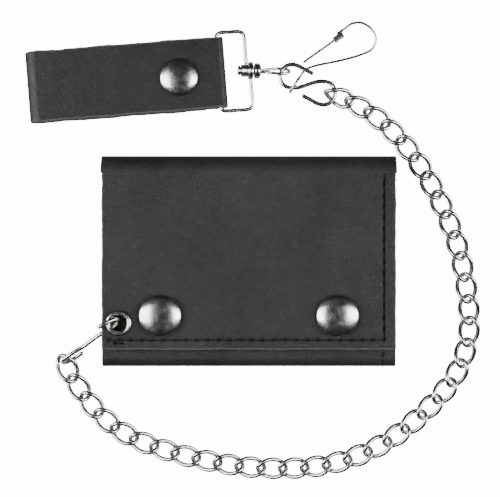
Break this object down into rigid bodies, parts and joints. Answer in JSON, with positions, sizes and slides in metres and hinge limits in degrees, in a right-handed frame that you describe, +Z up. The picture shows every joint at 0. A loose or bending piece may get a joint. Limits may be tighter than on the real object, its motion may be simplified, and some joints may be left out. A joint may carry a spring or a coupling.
{
  "type": "chain wallet",
  "caption": "Closed tri-fold leather wallet with snap flap, curb chain on an eyelet, and a belt-loop strap with swivel ring and wire snap hook.",
  "frame": {"origin": "centre of the closed wallet's resting back face", "axes": "+Z up out of the face the object lies on, +Y towards the top fold and the strap, +X towards the stitched side edge"},
  "size_m": [0.17, 0.1715, 0.0166],
  "materials": {
    "leather": "smooth black grain leather, semi-matt",
    "lining": "thin matt black lining leather",
    "window": "clear flexible vinyl",
    "nickel": "polished nickel plate"
  },
  "bodies": {
    "wallet": {"outer_back": "leather", "lining_back": "lining", "card_pocket_upper": "lining", "card_pocket_lower": "lining", "id_window": "window", "snap_stud_left": "nickel", "snap_stud_right": "nickel"},
    "top_spine": {"outer_spine": "leather"},
    "flap": {"outer_flap": "leather", "lining_flap": "lining", "snap_cap_left": "nickel", "snap_cap_right": "nickel", "eyelet": "nickel"},
    "wallet_hook": {"s_hook_wallet": "nickel"},
    "link_01": {"chain_link_01": "nickel"},
    "link_02": {"chain_link_02": "nickel"},
    "link_03": {"chain_link_03": "nickel"},
    "link_04": {"chain_link_04": "nickel"},
    "link_05": {"chain_link_05": "nickel"},
    "link_06": {"chain_link_06": "nickel"},
    "link_07": {"chain_link_07": "nickel"},
    "link_08": {"chain_link_08": "nickel"},
    "link_09": {"chain_link_09": "nickel"},
    "link_10": {"chain_link_10": "nickel"},
    "link_11": {"chain_link_11": "nickel"},
    "link_12": {"chain_link_12": "nickel"},
    "link_13": {"chain_link_13": "nickel"},
    "link_14": {"chain_link_14": "nickel"},
    "link_15": {"chain_link_15": "nickel"},
    "link_16": {"chain_link_16": "nickel"},
    "link_17": {"chain_link_17": "nickel"},
    "link_18": {"chain_link_18": "nickel"},
    "link_19": {"chain_link_19": "nickel"},
    "link_20": {"chain_link_20": "nickel"},
    "link_21": {"chain_link_21": "nickel"},
    "link_22": {"chain_link_22": "nickel"},
    "link_23": {"chain_link_23": "nickel"},
    "link_24": {"chain_link_24": "nickel"},
    "link_25": {"chain_link_25": "nickel"},
    "link_26": {"chain_link_26": "nickel"},
    "link_27": {"chain_link_27": "nickel"},
    "link_28": {"chain_link_28": "nickel"},
    "link_29": {"chain_link_29": "nickel"},
    "link_30": {"chain_link_30": "nickel"},
    "link_31": {"chain_link_31": "nickel"},
    "link_32": {"chain_link_32": "nickel"},
    "link_33": {"chain_link_33": "nickel"},
    "link_34": {"chain_link_34": "nickel"},
    "link_35": {"chain_link_35": "nickel"},
    "link_36": {"chain_link_36": "nickel"},
    "link_37": {"chain_link_37": "nickel"},
    "strap_hook": {"s_hook_strap": "nickel"},
    "swivel": {"swivel_eye": "nickel"},
    "ring": {"strap_ring": "nickel"},
    "strap_front": {"strap_front": "leather", "strap_snap_cap": "nickel"},
    "strap_back": {"strap_back": "leather", "strap_snap_stud": "nickel"},
    "snap_hook": {"snap_hook": "nickel"},
    "gate": {"hook_gate": "nickel"}
  },
  "joints": [
    {"name": "fold_upper", "type": "hinge", "parent": "flap", "child": "top_spine", "pos_m": [0, 0.03676, 0.01086], "axis": [1, 0, 0], "range_deg": [0, 40]},
    {"name": "fold_lower", "type": "hinge", "parent": "top_spine", "child": "wallet", "pos_m": [0, 0.03676, 0.00244], "axis": [1, 0, 0], "range_deg": [0, 40]},
    {"name": "wallet_hook_swing", "type": "hinge", "parent": "flap", "child": "wallet_hook", "pos_m": [-0.0479, -0.0227, 0.012], "axis": [0, 0, 1], "range_deg": [-5, 12]},
    {"name": "strap_hook_pivot", "type": "hinge", "parent": "link_37", "child": "strap_hook", "pos_m": [0.03026, 0.06272, 0.00359], "axis": [-0.3588, -0.9334, 0], "range_deg": [-15, 15]},
    {"name": "swivel_tilt", "type": "hinge", "parent": "strap_hook", "child": "swivel", "pos_m": [0.01181, 0.07105, 0.00349], "axis": [0, 1, 0], "range_deg": [-12, 12]},
    {"name": "swivel_spin", "type": "hinge", "parent": "swivel", "child": "ring", "pos_m": [-0.00031, 0.07106, 0.00489], "axis": [0.9934, -0.0005, -0.1146], "continuous": true},
    {"name": "strap_pivot", "type": "hinge", "parent": "ring", "child": "strap_front", "pos_m": [-0.0112, 0.0702, 0.00615], "axis": [-0.0785, 0.9969, 0], "range_deg": [-60, 90]},
    {"name": "strap_open", "type": "hinge", "parent": "strap_front", "child": "strap_back", "pos_m": [-0.08173, 0.06465, 0.00435], "axis": [-0.0785, 0.9969, 0], "range_deg": [0, 100]},
    {"name": "snap_hook_swing", "type": "hinge", "parent": "strap_hook", "child": "snap_hook", "pos_m": [0.0169, 0.0652, 0.0036], "axis": [0, 0, 1], "range_deg": [-8, 8]},
    {"name": "gate_press", "type": "hinge", "parent": "snap_hook", "child": "gate", "pos_m": [0.0206, 0.0746, 0.002], "axis": [0, 0, -1], "range_deg": [0, 10], "stiffness_Nm_per_rad": 0.002},
    {"name": "turn_link_01", "type": "hinge", "parent": "wallet_hook", "child": "link_01", "pos_m": [-0.06979, -0.03621, 0.00301], "axis": [0.8924, 0.4512, 0], "range_deg": [-10, 10]},
    {"name": "turn_link_02", "type": "hinge", "parent": "link_01", "child": "link_02", "pos_m": [-0.06601, -0.0437, 0.00263], "axis": [-0.8294, -0.5587, 0], "range_deg": [-30, 30]},
    {"name": "turn_link_03", "type": "hinge", "parent": "link_02", "child": "link_03", "pos_m": [-0.06144, -0.05048, 0.00231], "axis": [0.7801, 0.6256, 0], "range_deg": [-30, 30]},
    {"name": "turn_link_04", "type": "hinge", "parent": "link_03", "child": "link_04", "pos_m": [-0.05632, -0.05687, 0.00235], "axis": [-0.6578, -0.7532, 0], "range_deg": [-30, 30]},
    {"name": "turn_link_05", "type": "hinge", "parent": "link_04", "child": "link_05", "pos_m": [-0.05016, -0.06225, 0.00235], "axis": [0.5084, 0.8611, 0], "range_deg": [-30, 30]},
    {"name": "turn_link_06", "type": "hinge", "parent": "link_05", "child": "link_06", "pos_m": [-0.04312, -0.06641, 0.00235], "axis": [-0.3622, -0.9321, 0], "range_deg": [-30, 30]},
    {"name": "turn_link_07", "type": "hinge", "parent": "link_06", "child": "link_07", "pos_m": [-0.03549, -0.06937, 0.00235], "axis": [0.2952, 0.9554, 0], "range_deg": [-30, 30]},
    {"name": "turn_link_08", "type": "hinge", "parent": "link_07", "child": "link_08", "pos_m": [-0.02766, -0.07179, 0.00235], "axis": [-0.2487, -0.9686, 0], "range_deg": [-30, 30]},
    {"name": "turn_link_09", "type": "hinge", "parent": "link_08", "child": "link_09", "pos_m": [-0.01973, -0.07382, 0.00235], "axis": [0.1992, 0.98, 0], "range_deg": [-30, 30]},
    {"name": "turn_link_10", "type": "hinge", "parent": "link_09", "child": "link_10", "pos_m": [-0.01171, -0.07545, 0.00235], "axis": [-0.1454, -0.9894, 0], "range_deg": [-30, 30]},
    {"name": "turn_link_11", "type": "hinge", "parent": "link_10", "child": "link_11", "pos_m": [-0.0036, -0.07665, 0.00235], "axis": [0.0918, 0.9958, 0], "range_deg": [-30, 30]},
    {"name": "turn_link_12", "type": "hinge", "parent": "link_11", "child": "link_12", "pos_m": [0.00455, -0.0774, 0.00235], "axis": [-0.0238, -0.9997, 0], "range_deg": [-30, 30]},
    {"name": "turn_link_13", "type": "hinge", "parent": "link_12", "child": "link_13", "pos_m": [0.01274, -0.07759, 0.00235], "axis": [-0.0382, 0.9993, 0], "range_deg": [-30, 30]},
    {"name": "turn_link_14", "type": "hinge", "parent": "link_13", "child": "link_14", "pos_m": [0.02092, -0.07728, 0.00235], "axis": [0.1225, -0.9925, 0], "range_deg": [-30, 30]},
    {"name": "turn_link_15", "type": "hinge", "parent": "link_14", "child": "link_15", "pos_m": [0.02905, -0.07628, 0.00235], "axis": [-0.2483, 0.9687, 0], "range_deg": [-30, 30]},
    {"name": "turn_link_16", "type": "hinge", "parent": "link_15", "child": "link_16", "pos_m": [0.03697, -0.07425, 0.00235], "axis": [0.36, -0.933, 0], "range_deg": [-30, 30]},
    {"name": "turn_link_17", "type": "hinge", "parent": "link_16", "child": "link_17", "pos_m": [0.04461, -0.0713, 0.00235], "axis": [-0.4653, 0.8852, 0], "range_deg": [-30, 30]},
    {"name": "turn_link_18", "type": "hinge", "parent": "link_17", "child": "link_18", "pos_m": [0.05186, -0.06749, 0.00235], "axis": [0.5739, -0.8189, 0], "range_deg": [-30, 30]},
    {"name": "turn_link_19", "type": "hinge", "parent": "link_18", "child": "link_19", "pos_m": [0.05856, -0.06279, 0.00235], "axis": [-0.6526, 0.7577, 0], "range_deg": [-30, 30]},
    {"name": "turn_link_20", "type": "hinge", "parent": "link_19", "child": "link_20", "pos_m": [0.06476, -0.05745, 0.00235], "axis": [0.7071, -0.7072, 0], "range_deg": [-30, 30]},
    {"name": "turn_link_21", "type": "hinge", "parent": "link_20", "child": "link_21", "pos_m": [0.07055, -0.05166, 0.00235], "axis": [-0.7685, 0.6399, 0], "range_deg": [-30, 30]},
    {"name": "turn_link_22", "type": "hinge", "parent": "link_21", "child": "link_22", "pos_m": [0.07579, -0.04537, 0.00235], "axis": [0.8765, -0.4814, 0], "range_deg": [-30, 30]},
    {"name": "turn_link_23", "type": "hinge", "parent": "link_22", "child": "link_23", "pos_m": [0.07973, -0.03821, 0.00235], "axis": [-0.9598, 0.2806, 0], "range_deg": [-30, 30]},
    {"name": "turn_link_24", "type": "hinge", "parent": "link_23", "child": "link_24", "pos_m": [0.08202, -0.03036, 0.00235], "axis": [0.9957, -0.0921, 0], "range_deg": [-30, 30]},
    {"name": "turn_link_25", "type": "hinge", "parent": "link_24", "child": "link_25", "pos_m": [0.08278, -0.02221, 0.00235], "axis": [-0.996, -0.0898, 0], "range_deg": [-30, 30]},
    {"name": "turn_link_26", "type": "hinge", "parent": "link_25", "child": "link_26", "pos_m": [0.08204, -0.01406, 0.00235], "axis": [0.9901, 0.1405, 0], "range_deg": [-30, 30]},
    {"name": "turn_link_27", "type": "hinge", "parent": "link_26", "child": "link_27", "pos_m": [0.08089, -0.00596, 0.00235], "axis": [-0.9803, -0.1975, 0], "range_deg": [-30, 30]},
    {"name": "turn_link_28", "type": "hinge", "parent": "link_27", "child": "link_28", "pos_m": [0.07927, 0.00207, 0.00235], "axis": [0.9587, 0.2845, 0], "range_deg": [-30, 30]},
    {"name": "turn_link_29", "type": "hinge", "parent": "link_28", "child": "link_29", "pos_m": [0.07694, 0.00992, 0.00235], "axis": [-0.9294, -0.369, 0], "range_deg": [-30, 30]},
    {"name": "turn_link_30", "type": "hinge", "parent": "link_29", "child": "link_30", "pos_m": [0.07392, 0.01753, 0.00235], "axis": [0.9053, 0.4247, 0], "range_deg": [-30, 30]},
    {"name": "turn_link_31", "type": "hinge", "parent": "link_30", "child": "link_31", "pos_m": [0.07044, 0.02494, 0.00235], "axis": [-0.8786, -0.4776, 0], "range_deg": [-30, 30]},
    {"name": "turn_link_32", "type": "hinge", "parent": "link_31", "child": "link_32", "pos_m": [0.06653, 0.03214, 0.00234], "axis": [0.8366, 0.5478, 0], "range_deg": [-30, 30]},
    {"name": "turn_link_33", "type": "hinge", "parent": "link_32", "child": "link_33", "pos_m": [0.06205, 0.03899, 0.00236], "axis": [-0.7876, -0.6162, 0], "range_deg": [-30, 30]},
    {"name": "turn_link_34", "type": "hinge", "parent": "link_33", "child": "link_34", "pos_m": [0.057, 0.04544, 0.00241], "axis": [0.7011, 0.7131, 0], "range_deg": [-30, 30]},
    {"name": "turn_link_35", "type": "hinge", "parent": "link_34", "child": "link_35", "pos_m": [0.05117, 0.05117, 0.00264], "axis": [-0.5999, -0.8001, 0], "range_deg": [-30, 30]},
    {"name": "turn_link_36", "type": "hinge", "parent": "link_35", "child": "link_36", "pos_m": [0.04463, 0.05608, 0.00304], "axis": [0.4759, 0.8795, 0], "range_deg": [-30, 30]},
    {"name": "turn_link_37", "type": "hinge", "parent": "link_36", "child": "link_37", "pos_m": [0.03744, 0.05997, 0.00336], "axis": [-0.3588, -0.9334, 0], "range_deg": [-30, 30]}
  ],
  "couplings": [
    {"joint": "fold_lower", "follows": "fold_upper", "ratio": 1}
  ]
}
